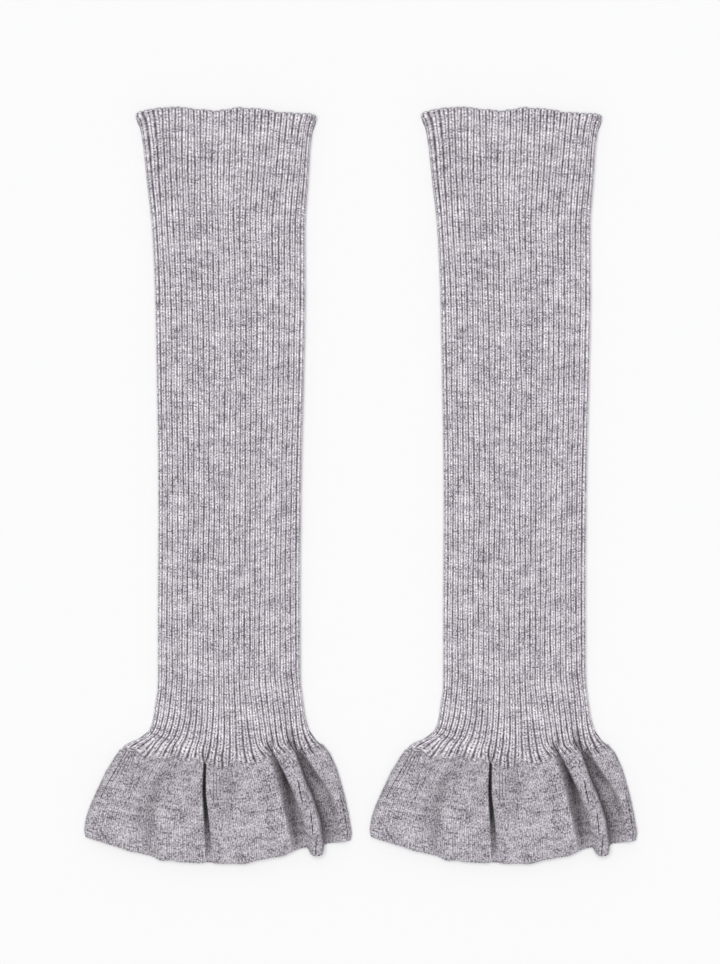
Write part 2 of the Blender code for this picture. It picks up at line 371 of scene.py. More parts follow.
def outward(grid):
    """Unit normals of a grid of points, away from the cloth's inside."""
    normal = np.cross(np.gradient(grid, axis=1), np.gradient(grid, axis=0))
    return normal / np.maximum(np.linalg.norm(normal, axis=-1, keepdims=True), 1e-9)


def slanted(grid, u, v, dip, last_slant):
    """A grid of plain cloth with V-shaped rows, and its normals.

    The middle of each wale falls by dip, in courses, and less in the last courses of either end.
    """
    fall = dip * (1 - np.abs(2 * (u % 1.0) - 1.0))
    fade = np.clip(v / FIRST_SLANT, 0, 1) * np.clip((v[-1] - v) / last_slant, 0, 1)
    shift = fall * fade[:, None] / (v[1] - v[0])
    return lowered(grid, shift), lowered(outward(grid), shift)


def add_roll(shell, outer, inner, anchors, shade, roll):
    """Adds the points that round the cloth's edge over, and returns the numbers of each ring.

    anchors says beside which outer point each inner one lies.
    """
    places = np.arange(len(outer))
    inside = np.column_stack([np.interp(places, anchors, axis) for axis in closed(inner, 0).T])
    middle = (outer + inside) / 2
    middle[:, 1] = outer[:, 1]
    rings = []
    for angle in np.radians(ROLL_ANGLES):
        bent = mix(middle, outer, math.cos(angle))
        bent[:, 1] += roll * math.sin(angle)
        rings.append(shell.add_points(bent, shade))
    return rings


def closed_shell(front, back, inner, roll_top, roll_end):
    """The shell around a front layer, a back layer and a plain inside, all as Layers.

    front and back share their side edges: back holds only the points between them, in fewer rows.
    inner is a ring of points per row, one beside each outer column that begins a wale. The two
    rolls are how far the cloth's edge rounds over beyond the outer points, or 0 for a plain cut.
    """
    shell = Shell()
    front_ids = shell.add_points(front.points, front.shade, front.line)
    back_ids = shell.add_points(back.points, back.shade, back.line)
    inner_ids = closed(shell.add_points(inner.points))
    front_v, back_v, inner_v = (layer.v[:, None] for layer in (front, back, inner))
    turn = front.u[-1]
    full = back.u[-1] + (back.u[-1] - back.u[-2])
    last_v = front.v[-1]

    def back_bake(u, v):
        return fitted((u - turn) / (full - turn), 1 - v / last_v, *BAKE_BACK)

    front_bake = fitted(front.u / turn, 1 - front_v / last_v, *BAKE_FRONT)
    shell.add_grid(front_ids, stacked(front.u, front_v), front_bake)
    shell.add_grid(back_ids, stacked(back.u, back_v), back_bake(back.u, back_v))
    row_anchors = np.arange(len(back_v)) * ((len(front_v) - 1) // (len(back_v) - 1))
    for column, beside, side_u in ((-1, 0, turn), (0, -1, full)):
        ids = np.concatenate((front_ids[:, column], back_ids[:, beside]))
        u = np.repeat((side_u, back.u[beside]), (len(front_v), len(back_v)))
        v = np.concatenate((front.v, back.v))
        shell.add_faces(strip_faces(row_anchors, column == -1), ids, stacked(u, v), back_bake(u, v))

    inner_u = np.append(inner.u, full)
    inner_bake = fitted(inner_u / full, 0.1 + 0.8 * inner_v / last_v, *BAKE_INSIDE)
    shell.add_grid(inner_ids, stacked(inner_u, inner_v), inner_bake, turned=True)

    outer_u = np.concatenate((front.u, back.u, [full]))
    anchors = np.append(np.flatnonzero(outer_u[:-1] % 1.0 == 0.0), len(outer_u) - 1)
    back_shade = np.broadcast_to(back.shade, back_ids.shape)
    for end, roll, sign in ((0, roll_top, 1.0), (-1, roll_end, -1.0)):
        rings = [np.concatenate((front_ids[end], back_ids[end]))]
        if roll:
            outer = np.concatenate((front.points[end], back.points[end]))
            shade = np.concatenate((front.shade[end], back_shade[end]))
            rings += add_roll(shell, outer, inner.points[end], anchors, shade, sign * roll)
        rings = closed(np.array(rings))
        ring_v = front.v[end] - sign * 0.3 * np.arange(len(rings))
        bake_v = 0.5 - sign * np.linspace(0.41, 0.49, len(rings))
        ring_bake = fitted(outer_u / full, bake_v[:, None], *BAKE_INSIDE)
        shell.add_grid(rings, stacked(outer_u, ring_v[:, None]), ring_bake, turned=end == 0)
        ids = np.concatenate((rings[-1], inner_ids[end]))
        u = np.concatenate((outer_u, inner_u))
        edge_v = bake_v[-1] + np.repeat((0.0, 0.005), (len(outer_u), len(inner_u)))
        edge_bake = fitted(u / full, edge_v, *BAKE_INSIDE)
        edge_map = stacked(u, front.v[end])
        shell.add_faces(strip_faces(anchors, end == 0), ids, edge_map, edge_bake, flat=not roll)
    return shell


def add_object(name, data):
    """A new object, in the scene."""
    added = bpy.data.objects.new(name, data)
    scene.collection.objects.link(added)
    return added


def make_piece(name, shell, centre, material):
    """A shell as an object, with its leg's centre line at X = centre."""
    across, down, height = np.concatenate(shell.points).T
    places = np.column_stack((across + centre, LENGTH / 2 - down, height)) * MILLIMETRE
    counts = [np.full(len(faces.points), faces.points.shape[1]) for faces in shell.faces]
    corners = np.concatenate(counts)
    numbers = np.concatenate([faces.points.ravel() for faces in shell.faces])
    data = bpy.data.meshes.new(name)
    data.vertices.add(len(places))
    data.vertices.foreach_set("co", places.astype(np.float32).ravel())
    data.loops.add(len(numbers))
    data.loops.foreach_set("vertex_index", numbers)
    data.polygons.add(len(corners))
    data.polygons.foreach_set("loop_start", np.cumsum(corners) - corners)
    data.update(calc_edges=True)
    for layer, field in (("Stitches", "stitches"), ("OFBake", "bake")):
        uv = np.concatenate([getattr(faces, field).ravel() for faces in shell.faces])
        data.uv_layers.new(name=layer).uv.foreach_set("vector", uv.astype(np.float32))
    # Shade and Line carry the painted shade, and the darkening by the seam, to the material
    for layer, values in (("Shade", shell.shade), ("Line", shell.line)):
        attribute = data.attributes.new(layer, "FLOAT", "POINT")
        attribute.data.foreach_set("value", np.concatenate(values).astype(np.float32))
    smooth_faces = [np.full(len(faces.points), not faces.flat) for faces in shell.faces]
    data.polygons.foreach_set("use_smooth", np.concatenate(smooth_faces))
    data.materials.append(material)
    data.validate()
    return add_object(name, data)


# The ribbed tube

TUBE_COURSES = 224
TUBE_ROWS = (0.0, 0.5)  # where the rows of points lie in a course
COURSE_HEIGHT = 1.65
TUBE_SEED = 9
RIB_COLUMNS = (0.0, 0.15, 0.32, 0.5, 0.68, 0.85)
RIB_DEPTHS = (1.0, 0.46, 0.0, 0.24, 0.0, 0.46)  # shares of the groove's depth
BACK_RIB_COLUMNS = (0.0, 0.3, 0.5, 0.7)
BACK_RIB_DEPTHS = (1.0, 0.0, 0.2, 0.0)
BACK_GROOVE_DEPTH = 0.9
STITCH_DIP = 0.9  # how far a stitch's two legs fall towards its middle, in courses
STITCH_NICK = 0.16  # how far the cloth sinks between two stitches of a wale
LEG_DEPTH = 0.08  # how unevenly deep a stitch's legs lie
LEG_SHIFT = 0.05  # and how unevenly aside
LAST_SLANT = 3  # over how many courses above the seam the rows straighten
SIDE_SWELL = 0.35  # how far the outermost ribs stand proud of the CAD's sides
SIDE_POWER = 1.4  # how strongly their columns are drawn to the side edge
SIDE_RIBS = 3  # how many ribs on each side keep more or less to the side edge
TOP_ROLL = 0.8
LOOP_DEPTHS = (1.0, 0.35, 0.0, 0.5, 0.0, 0.35)  # the top edge's dips between loops
LOOP_UNEVENNESS = 0.3
BACK_DROP = 1.8  # how far the back's top edge lies below the front's
INSIDE_START = 1.2  # how far down the inside starts, in courses
LOWEST_HOLLOW = 2.0  # how low the tube's front may sink where the folds begin
LOWEST_CLOTH = 3.2  # and how low it may without its grooves
FRONT_WAVE = 0.12  # how far the front rises and falls
END_WALL = 1.3  # the back's thickness at the seam
INNER_ROWS = 28
FLARE_END = 0.045  # where the flare at the top corners ends, as a share of the tube
FLARING_RIBS = 4  # how many ribs on each side take part in it
BODY_WIDENING = 30.0  # how fast the rest widens there, in millimetres for each whole length
TOP_TWIST = 0.75  # how far the front's ribs have turned to the right at the top, in ribs
TWIST_END = 0.2  # where that ends, as a share of the tube
OPENING = Rise(0.95, 0.05, 1.0)  # where the tube takes on the folds, in shares of it
RIB_SWAY = (Uneven(3, 0.13, 5 / 3, 20), Uneven(4, 0.06, 10 / 17, 7))
TIGHTNESS = (Uneven(7, 0.25, 1, 14), Uneven(8, 0.15, 1, 4))
RIB_LINE = 0.80  # how strong the painted shade along the line between two ribs is
RIB_LINES = (Uneven(10, 0.16, 1, 6), Uneven(11, 0.24, 1, 1.7))
# the painted shade between the back's ribs
BACK_LINE = 0.7
WIDE_RIB = 2.2  # between narrower ribs than this, a groove is shallower

# Where each groove of the rib lies as the tube opens into the flounce, in even ribs from the left
# edge, at these shares of the way down (at the first one they are even), and how far past the seam
# it ends
LEAN_STATIONS = (0.880, 0.930, 0.968, 0.984, 1.000)
Groove = namedtuple("Groove", "high near close seam end")
GROOVES = [Groove(*row) for row in (
    (0.0, 0.0, 0.0, 0.0, 0.0),
    (0.9, 0.75, 0.95, 0.95, -2.8),
    (1.95, 1.7, 2.05, 2.3, -3.1),
    (2.85, 2.6, 3.05, 3.55, 1.5),
    (3.9, 3.6, 4.1, 4.7, -1.1),
    (5.0, 4.55, 5.2, 5.9, -0.4),
    (6.0, 5.55, 6.25, 7.0, -1.6),
    (7.0, 6.65, 7.35, 7.95, -1.4),
    (8.0, 7.75, 8.55, 9.05, -0.4),
    (9.05, 8.8, 9.65, 10.4, -2.4),
    (10.05, 9.9, 10.8, 11.72, -1.3),
    (11.05, 10.95, 11.8, 11.86, -1.3),
    (12.1, 12.05, 12.8, 13.2, 0.4),
    (13.2, 13.15, 13.85, 14.25, 2.8),
    (14.25, 14.25, 14.95, 15.05, 0.3),
    (15.3, 15.4, 16.1, 16.1, -3.2),
    (16.4, 16.65, 17.4, 17.6, -1.0),
    (17.5, 17.85, 18.6, 18.9, -1.2),
    (18.6, 18.95, 19.8, 20.3, -2.3),
    (19.65, 19.85, 20.65, 21.2, -2.8),
    (20.6, 20.75, 21.3, 21.6, 3.8),
    (21.5, 21.6, 21.95, 22.3, 0.0),
    (22.45, 22.5, 22.75, 23.1, 0.2),
    (23.4, 23.35, 23.55, 23.8, -0.3),
    (24.4, 24.2, 24.3, 24.1, 0.0),
    (25.4, 25.1, 25.1, 24.6, 0.5),
    (26.4, 26.0, 25.9, 25.1, 3.8),
    (27.35, 26.9, 26.85, 26.2, 3.6),
    (28.0, 28.0, 28.0, 28.0, 0.0),
)]
GROOVE_FADE = 0.8  # how far before its end a groove starts to rise, in millimetres
RIB_TIP = 1.2  # how far a rib's tip reaches past its grooves' ends, in millimetres
FURTHEST_TIP = 0.8  # where a groove runs on further, the ribs beside it still end here
GROOVE_ENDS = np.array([groove.end for groove in GROOVES])
GROOVE_NUMBERS = np.arange(RIBS + 1)

# Between two grooves the cloth sinks into the folds' crease. There they are deeper, with painted shade
CREASE_GROOVES = (10, 11)
CREASE_DEPTH = 0.4
CREASE_SHADE = 0.55

# What changes towards the seam, by how far past it a place lies, in millimetres
INTO_CREASE = Rise(-14.0, 10.0, 1.0)
# the painted shade along the grooves grows full
FULL_LINES = Rise(-30.0, 15.0, 0.6)
# the last rows and, past the grooves' ends, the ribs' tips get darker
SEAM_SHADE = Rise(-8.0, 7.0, 0.15)
TIP_SHADE = Rise(-1.5, 1.5, 0.18)  # by how far past a groove's end
# painted shade on the rib that ends in the crease
POINT_SHADE = Rise(-4.0, 2.5, 0.9)
# painted shade in the dips between the top edge's loops
LOOP_SHADE = 0.8


def side_spread(u, count):
    """Places with those in the outermost wales drawn towards the side edge."""
    near = off_side(u, count)
    drawn = np.where(near < 1.0, near ** SIDE_POWER, near)
    return np.where(u < count / 2, drawn, count - drawn)


def lean(u, along):
    """How far each column leans aside as the tube opens into the flounce, in ribs.

    The outermost ribs follow the side edges, and the others run smoothly from station to station.
    """
    stations = np.array(LEAN_STATIONS)
    grooves = zip(*(groove[:-1] for groove in GROOVES))
    places = np.array([u, *(smooth(GROOVE_NUMBERS, places, u) for places in grooves)])
    across = mix(*side_edges(TUBE_EDGES, stations[:, None]), places / RIBS)
    left, right = side_edges(TUBE_EDGES, along)
    inner = inward(u, RIBS, SIDE_RIBS)
    offsets = np.zeros((len(along), len(u)))
    for column in range(len(u)):
        by_share = smooth(stations, places[:, column], along)
        by_place = RIBS * share_of(smooth(stations, across[:, column], along), left, right)
        offsets[:, column] = mix(by_share, by_place, inner[column]) - u[column]
    return offsets * (along > stations[0])[:, None]


# The tube takes on the folds but for the crease's walls and bottom, which start below it
TUBE_FOLDS = [fold for fold in FOLDS if "wall" not in fold.name and "bottom" not in fold.name]


def fold_keys(along, folds):
    """Where the side edges and the folds between them lie across, at a share of the way down."""
    left, right = side_edges(FLOUNCE_EDGES, along)
    return [left, *(at_share(fold.across, along) for fold in folds), right]


def fold_height(across, along, folds):
    """The front layer's height at a share of the way down the flounce, away from its sides."""
    heights = [TUBE_HEIGHT, *(at_share(fold.height, along) for fold in folds), TUBE_HEIGHT]
    return smooth(fold_keys(along, folds), heights, across)


# How dark the painted shade makes a hollow: how far around a place its surroundings count, and how
# far below them it is deep in a hollow, once for the broad hollows beside a fold and once for a
# crease or a fold's foot
Reach = namedtuple("Reach", "spread depth")
REACHES = (Reach(4.0, 3.4), Reach(1.5, 2.3))
DARKEST = 1.2


# How far down in a hollow a place lies sets its painted shade, and on the flounce it also lessens the
# relief
def hollow(across, along, folds):
    """How far down in a hollow between folds a place lies: 0 on the flat, 1 or more at the deepest."""
    step = 0.25
    left, right = side_edges(FLOUNCE_EDGES, along)
    even = np.arange(float(left), float(right) + step, step)
    height = fold_height(even, along, folds)
    sunk = np.zeros(len(even))
    for spread, depth in REACHES:
        reach = int(3 * spread / step)
        weights = np.exp(-(np.arange(-reach, reach + 1) * step / spread) ** 2 / 2)
        around = np.convolve(np.pad(height, reach, mode="edge"), weights / weights.sum(), mode="valid")
        sunk = np.maximum(sunk, (around - height) / depth)
    return np.interp(across, even, np.minimum(sunk, DARKEST))


def opening(along):
    """How far the tube has taken on the flounce's folds, at a share of the way down it."""
    return risen(OPENING, along)


def swollen_edges(along):
    """The tube's side edges with the swell of its outermost ribs."""
    left, right = side_edges(TUBE_EDGES, along)
    swell = SIDE_SWELL * (1 - opening(along))
    return left - swell, right + swell


def body_edges(along):
    """The same edges without the flare at the top corners."""
    left, right = swollen_edges(np.maximum(along, FLARE_END))
    widening = BODY_WIDENING * np.maximum(FLARE_END - along, 0.0)
    return left - widening, right + widening


def tube_layer(u, v, front):
    """The plain cloth of the tube's front or back layer, as a grid of points."""
    along = (v / TUBE_COURSES)[:, None]
    left, right = swollen_edges(along)
    place = side_spread(u, RIBS)
    place = place + inward(place, RIBS, 2) * uneven(RIB_SWAY, place, v)
    if front:
        place = place + lean(u, along[:, 0])
        place = place + TOP_TWIST * inward(place, RIBS, SIDE_RIBS) * (1 - ease(along / TWIST_END))
    share = place / RIBS
    body_across = mix(*body_edges(along), share)
    across = mix(mix(left, right, share), body_across, inward(place, RIBS, FLARING_RIBS))
    turned = rim(across, left, right)
    if front:
        seam_across = mix(*side_edges(FLOUNCE_EDGES, 0.0), share)
        seam_top = np.maximum(fold_height(seam_across, 0.0, TUBE_FOLDS), LOWEST_CLOTH)
        wave = FRONT_WAVE * wander(5, share * 9, along * 30)
        top = mix(TUBE_HEIGHT, seam_top, opening(along)) + (1 - opening(along)) * wave
        height = mix(HALF_HEIGHT, top, turned)
        past_seam = tips(u)
    else:
        height = HALF_HEIGHT * (1 - turned)
        past_seam = -BACK_DROP * inward(u, RIBS, SIDE_RIBS)
    from_corner = off_side(share, 1.0) * (right - left)
    droop = CORNER_DROOP * np.clip(1.0 - from_corner / CORNER_REACH, 0.0, 1.0) ** 2
    top_edge = at_share(TOP_EDGE, share) + ripple(TOP_WAVES, mix(*body_edges(0.0), share))
    top_edge = top_edge + droop + TOP_ROLL + (0.0 if front else BACK_DROP)
    down = mix(top_edge, at_share(SEAM, share), along) + past_seam * opening(along)
    return stacked(across, down, height)


def groove_left(rib, past_seam):
    """The share of a groove's depth that is left at a distance past the seam."""
    from_end = past_seam - GROOVE_ENDS[rib.astype(int)]
    return 1.0 - ease((from_end + GROOVE_FADE) / GROOVE_FADE)


def tips(place):
    """How far past the seam the ribs' round tips reach, at each place across in ribs."""
    ends = np.interp(place, GROOVE_NUMBERS, np.minimum(GROOVE_ENDS, FURTHEST_TIP))
    reach = ends + RIB_TIP * np.abs(np.sin(math.pi * place))
    return reach * inward(place, RIBS, SIDE_RIBS)


def tube_front():
    """The tube's front layer with its ribs and stitches."""
    v = columns(TUBE_COURSES, TUBE_ROWS)
    u = columns(RIBS, RIB_COLUMNS)
    profile = repeated(RIBS, RIB_DEPTHS)
    loops = repeated(RIBS, LOOP_DEPTHS)
    plain = tube_layer(u, v, True)
    along = (v / TUBE_COURSES)[:, None]
    share = share_of(plain[..., 0], *side_edges(TUBE_EDGES, along))
    seam_across = mix(*side_edges(FLOUNCE_EDGES, 0.0), share)
    sunk = hollow(seam_across, 0.0, TUBE_FOLDS) * opening(along)
    grid, normal = slanted(plain, u, v, STITCH_DIP, LAST_SLANT)

    to_top = v[:, None]
    to_end = TUBE_COURSES - to_top
    rib = np.round(u)
    past_seam = tips(u) - to_end * COURSE_HEIGHT
    groove = groove_left(rib, past_seam)
    into_crease = np.isin(rib, CREASE_GROOVES) * risen(INTO_CREASE, past_seam)
    roomy = np.clip(np.gradient(grid[..., 0], u, axis=1) / WIDE_RIB, 0.1, 1.0)
    tightness = 1.0 + uneven(TIGHTNESS, rib, v) + CREASE_DEPTH * into_crease
    depth = GROOVE_DEPTH * profile * tightness * groove * roomy
    generator = np.random.default_rng(TUBE_SEED)
    on_leg = profile < 0.2
    stitch = STITCH_NICK * (to_top % 1.0 == 0) * np.where(profile < 0.9, 1.0, 0.3)
    stitch = stitch + LEG_DEPTH * on_leg * generator.uniform(-1, 1, stitch.shape)
    depth = depth + stitch * np.clip(to_end / 1.5, 0.0, 1.0)
    points = grid - normal * depth[..., None]
    points[..., 2] = np.maximum(points[..., 2], LOWEST_HOLLOW)
    uneven_loops = loops + LOOP_UNEVENNESS * wander(15, u - 0.5, 0.5)
    points[..., 1] += uneven_loops * (1 - ease(to_top / 1.8))
    points[..., 0] += LEG_SHIFT * on_leg * generator.uniform(-1, 1, stitch.shape)

    # painted shade along the grooves between ribs, full towards the seam and in the crease
    line = RIB_LINE + uneven(RIB_LINES, rib, v)
    line = line + (1.0 - line) * risen(FULL_LINES, past_seam)
    line = most(np.clip(line, 0.15, 1.0), into_crease) * groove
    past_end = past_seam - np.interp(u, GROOVE_NUMBERS, GROOVE_ENDS)
    at_point = (u > min(CREASE_GROOVES)) & (u < max(CREASE_GROOVES))
    # painted shade in the crease, the hollows and between the top loops; darker last rows and rib tips
    shade = most(
        CREASE_SHADE * into_crease * (profile > 0.4) * groove,
        sunk,
        risen(SEAM_SHADE, past_seam) + risen(TIP_SHADE, past_end),
        at_point * risen(POINT_SHADE, past_seam),
        LOOP_SHADE * loops ** 2 * (1 - ease(to_top / 1.2)),
    )
    return Layer(points, shade, line, u, v)


def tube_back(front):
    """The tube's back layer, with plainer ribs that rest on the surface."""
    v = front.v[::BACK_STEP]
    turned = columns(RIBS, BACK_RIB_COLUMNS)[1:-1]
    depth = BACK_GROOVE_DEPTH * repeated(RIBS, BACK_RIB_DEPTHS)[1:-1]
    grid = tube_layer(RIBS - turned, v, False)
    return Layer(grid - outward(grid) * depth[:, None], 0.0, BACK_LINE, RIBS + turned, v)


def tube_inside():
    """The plain inside of the tube, a point for each groove of its front and back."""
    v = np.linspace(INSIDE_START, TUBE_COURSES, INNER_ROWS)
    along = (v / TUBE_COURSES)[:, None]
    left, right = side_edges(TUBE_EDGES, along)
    wall = mix(BACK_WALL, END_WALL, opening(along))
    numbers = np.arange(RIBS, dtype=float)
    layers = []
    for place, gap, front in ((numbers, LAYER_GAP, True), (RIBS - numbers, 0.0, False)):
        grid = tube_layer(place, v, front)
        share = share_of(grid[..., 0], left, right)
        grid[..., 0] = mix(left + BACK_WALL, right - BACK_WALL, share)
        grid[..., 2] = wall + np.where(off_side(place, RIBS) < 0.5, LAYER_GAP / 2, gap)
        layers.append(grid)
    return Layer(np.concatenate(layers, axis=1), 0.0, 0.0, np.arange(2.0 * RIBS), v)


def build_tube():
    """The tube's shell."""
    front = tube_front()
    return closed_shell(front, tube_back(front), tube_inside(), TOP_ROLL, 0.0)


# The flounce

WALES = 82
FLOUNCE_COURSES = 34
FLOUNCE_SEED = 13
GAPE_SEED = 20  # of the first gaping wale
FLOUNCE_ROWS = (0.0, 0.25, 0.5, 0.75)
INNER_STEP = 8  # rows of the front to one of the inside
WALE_COLUMNS = (0.0, 0.25, 0.5, 0.75)
WALE_DEPTHS = (0.34, 0.0, 0.24, 0.0)
COURSE_DEPTHS = (0.15, 0.03, 0.0, 0.05)
BACK_WALE_COLUMNS = (0.0, 0.5)
BACK_WALE_DEPTHS = (0.25, 0.0)
FLOUNCE_DIP = 0.55  # as STITCH_DIP
FLOUNCE_LAST_SLANT = 1.5  # as LAST_SLANT
STITCH_DEPTH = 0.07  # how unevenly deep the stitches lie
HEM_ROLL = 0.7
HEM_NICK = 0.6  # how far the hem's edge dips between two wales
TUCK = 0.3  # how far the first row hides under the tube's end
SAMPLES = 1600
SIDE_SAMPLES = 0.12  # how strongly the samples crowd at the sides
TIP_FADE = 0.2  # over what share of the way down the ribs' tips even out
CLOTH_WAVE = (Uneven(12, 0.35, 7, 9),)
WALE_LINE = 0.25  # how strong the painted shade along the line between two wales is
WALE_LINES = (Uneven(14, 0.20, 1, 2.5),)
# and between the back's wales
BACK_WALE_LINE = 0.3
# how dark the painted shade is along the tube's grooves that run on, in the hem's nicks and in gaping
# wales
GROOVE_SHADE = 0.9
NICK_SHADE = 0.6
GAPE_SHADE = 0.8
GAPE_DEPTH = 0.4
GAPE_OPENS = 0.08  # over what share of the way down a wale comes to gape
GAPE_CLOSES = 0.12  # and closes again
INNER_HEIGHT = 0.9 * FLOUNCE_WALL  # how high the back's inner face lies
INNER_GAP = 0.15  # how far the front's inner face stays above it

# Wales that gape: which one, counted from the left edge, between two shares of the way down, and how
# far, which also sets the painted shade in the gap
OpenWale = namedtuple("OpenWale", "number begin end depth")
OPEN_WALES = [OpenWale(*row) for row in (
    (3, -0.2, 0.62, 0.85),
    (4, -0.2, 0.34, 0.7),
    (5, -0.2, 0.3, 0.75),
    (6, -0.2, 0.22, 0.7),
    (7, -0.2, 0.2, 0.7),
    (9, -0.05, 0.22, 0.65),
    (12, 0.04, 0.24, 0.75),
    (11, 0.18, 0.4, 0.75),
    (10, 0.34, 0.54, 0.7),
    (14, 0.06, 0.34, 0.65),
    (38, 0.0, 0.45, 0.65),
    (39, 0.0, 0.42, 0.75),
    (40, 0.02, 0.38, 0.65),
    (67, 0.12, 0.32, 0.9),
    (65, 0.24, 0.56, 1.35),
    (67, 0.54, 0.86, 1.15),
    (68, 0.8, 1.3, 1.35),
    (80, 0.45, 1.1, 0.95),
)]

# How far each fold and edge drifts over the wales: 0 along one wale, 1 as even spacing has it
FIRST_DRIFTING = [fold.name for fold in FOLDS].index("middle panel")
DRIFT = np.clip((np.arange(len(FOLDS)) - FIRST_DRIFTING + 1) / 2, 0.0, 1.0)
DRIFT = np.array([0.0, *DRIFT, 0.0])


def cloth_row(along):
    """A row of the front layer's plain cloth in fine steps: across, height, and how far along it."""
    left, right = side_edges(FLOUNCE_EDGES, along)
    even = np.linspace(-1.0, 1.0, SAMPLES)
    crowded = mix(even, np.sin(even * math.pi / 2), SIDE_SAMPLES)
    across = (left + right) / 2 + (right - left) / 2 * crowded
    across[0], across[-1] = left, right
    height = mix(HALF_HEIGHT, fold_height(across, along, FOLDS), rim(across, left, right))
    length = np.cumsum(np.hypot(np.diff(across), np.diff(height)))
    return across, height, np.append(0.0, length)


def even_wales(along):
    """On which wale each fold and edge lies if the wales are spaced evenly over the cloth."""
    across, _, length = cloth_row(along)
    return WALES * np.interp(fold_keys(along, FOLDS), across, length) / length[-1]


def flounce_cloth(u, v):
    """The front layer's plain cloth, as a grid of points, and how far down in a hollow each lies."""
    mean_wales = np.mean([even_wales(along) for along in np.linspace(0.0, 1.0, 5)], axis=0)
    grid = np.zeros((len(v), len(u), 3))
    sunk = np.zeros((len(v), len(u)))
    for row, along in enumerate(v / FLOUNCE_COURSES):
        across, height, length = cloth_row(along)
        keys = fold_keys(along, FOLDS)
        key_lengths = np.interp(keys, across, length)
        key_wales = mix(mean_wales, WALES * key_lengths / length[-1], DRIFT)
        at = smooth(key_wales, key_lengths, u)
        across, height = np.interp(at, length, across), np.interp(at, length, height)
        share = share_of(across, keys[0], keys[-1])
        drop = smooth(keys, [0.0, *(fold.drop * along ** 2 for fold in FOLDS), 0.0], across)
        drop = drop + ripple(HEM_WAVES, across) * along ** 3
        down = mix(at_share(SEAM, share), at_share(HEM, share) - HEM_ROLL, along) + drop
        grid[row] = np.column_stack((across, down, height))
        sunk[row] = hollow(across, along, FOLDS)
    return grid, sunk


def open_wales(u, v):
    """How far each wale gapes, as a grid of points."""
    along = (v / FLOUNCE_COURSES)[:, None]
    gape = np.zeros((len(v), len(u)))
    for seed, wale in enumerate(OPEN_WALES, GAPE_SEED):
        opened = ease((along - wale.begin) / GAPE_OPENS)
        still = 1 - ease((along - wale.end + GAPE_CLOSES) / GAPE_CLOSES)
        dotted = 0.85 + 0.30 * wander(seed, v[:, None] / 1.2, 0.5)
        gape = most(gape, wale.depth * opened * still * dotted * (np.abs(u - wale.number) < 0.3))
    return np.minimum(gape, 1.0)


def flounce_front():
    """The flounce's front layer with its folds and stitches."""
    v = columns(FLOUNCE_COURSES, FLOUNCE_ROWS)
    u = columns(WALES, WALE_COLUMNS)
    grid, sunk = flounce_cloth(u, v)
    seam_share = share_of(grid[0, :, 0], grid[0, 0, 0], grid[0, -1, 0])
    rib_place = np.interp(seam_share * RIBS, [groove.seam for groove in GROOVES], GROOVE_NUMBERS)
    along = (v / FLOUNCE_COURSES)[:, None]
    grid[..., 1] += tips(rib_place) * (1 - ease(along / TIP_FADE))
    wave = uneven(CLOTH_WAVE, u, v) * inward(u, WALES, 4) * ease(along / 0.25)
    grid[..., 2] += wave * np.clip(1 - sunk, 0.0, 1.0)
    grid, normal = slanted(grid, u, v, FLOUNCE_DIP, FLOUNCE_LAST_SLANT)

    to_top = v[:, None]
    to_end = FLOUNCE_COURSES - to_top
    profile = repeated(WALES, WALE_DEPTHS)
    between = profile > 0.3
    course = repeated(FLOUNCE_COURSES, COURSE_DEPTHS)[:, None]
    generator = np.random.default_rng(FLOUNCE_SEED)
    stitch = generator.uniform(-1, 1, (FLOUNCE_COURSES + 1, len(u)))
    stitch = STITCH_DEPTH * stitch[v.astype(int)] * (profile < 0.1)
    gape = open_wales(u, v)
    gaping = gape * between
    depth = ease(to_top / 1.5) * (profile + course + stitch + GAPE_DEPTH * gaping) * (1 - 0.5 * sunk)

    # The tube's grooves run on a little way, unevenly
    rib = np.round(rib_place)
    off_groove = np.abs(rib_place - rib)
    shape = np.interp(off_groove, RIB_COLUMNS[:4], RIB_DEPTHS[:4])
    groove = groove_left(rib, grid[..., 1] - at_share(SEAM, seam_share))
    depth = depth + GROOVE_DEPTH * shape * groove * (1 - 0.6 * sunk)
    points = grid - normal * depth[..., None]
    nick = (1 - ease(to_end)) * between * (1 + 0.4 * generator.uniform(-1, 1, profile.shape))
    points[..., 1] -= HEM_NICK * nick
    points[0, :, 1:] -= TUCK
    # painted shade along the grooves that run on, in the hollows, the hem's nicks and gaping wales, and
    # between wales
    on_groove = np.clip(1 - 6.0 * off_groove, 0, 1) * groove
    shade = most(GROOVE_SHADE * on_groove, sunk, NICK_SHADE * nick, GAPE_SHADE * gaping)
    line = most(WALE_LINE + uneven(WALE_LINES, u, v), gape)
    return Layer(points, shade, line, u, v)


def flounce_plain(u, v, inset):
    """Places across and down of a plain layer, at even shares of its width."""
    along = (v / FLOUNCE_COURSES)[:, None]
    left, right = side_edges(FLOUNCE_EDGES, along)
    share = u / WALES
    down = mix(at_share(SEAM, share), at_share(HEM, share) - HEM_ROLL - HEM_NICK, along)
    return mix(left + inset, right - inset, share), down


def flounce_back(front):
    """The flounce's back layer, flat on the surface but for a few soft troughs."""
    v = front.v[::BACK_STEP]
    along = (v / FLOUNCE_COURSES)[:, None]
    turned = columns(WALES, BACK_WALE_COLUMNS)[1:-1]
    depth = repeated(WALES, BACK_WALE_DEPTHS)[1:-1]
    place = side_spread((WALES - turned) / 2, WALES / 2) * 2
    across, down = flounce_plain(place, v, 0.0)
    rise = 1 - rim(across, *side_edges(FLOUNCE_EDGES, along))
    grid = stacked(across, down, HALF_HEIGHT * rise + back_lift(across, along))
    return Layer(grid - outward(grid) * depth[:, None], 0.0, BACK_WALE_LINE, WALES + turned, v)


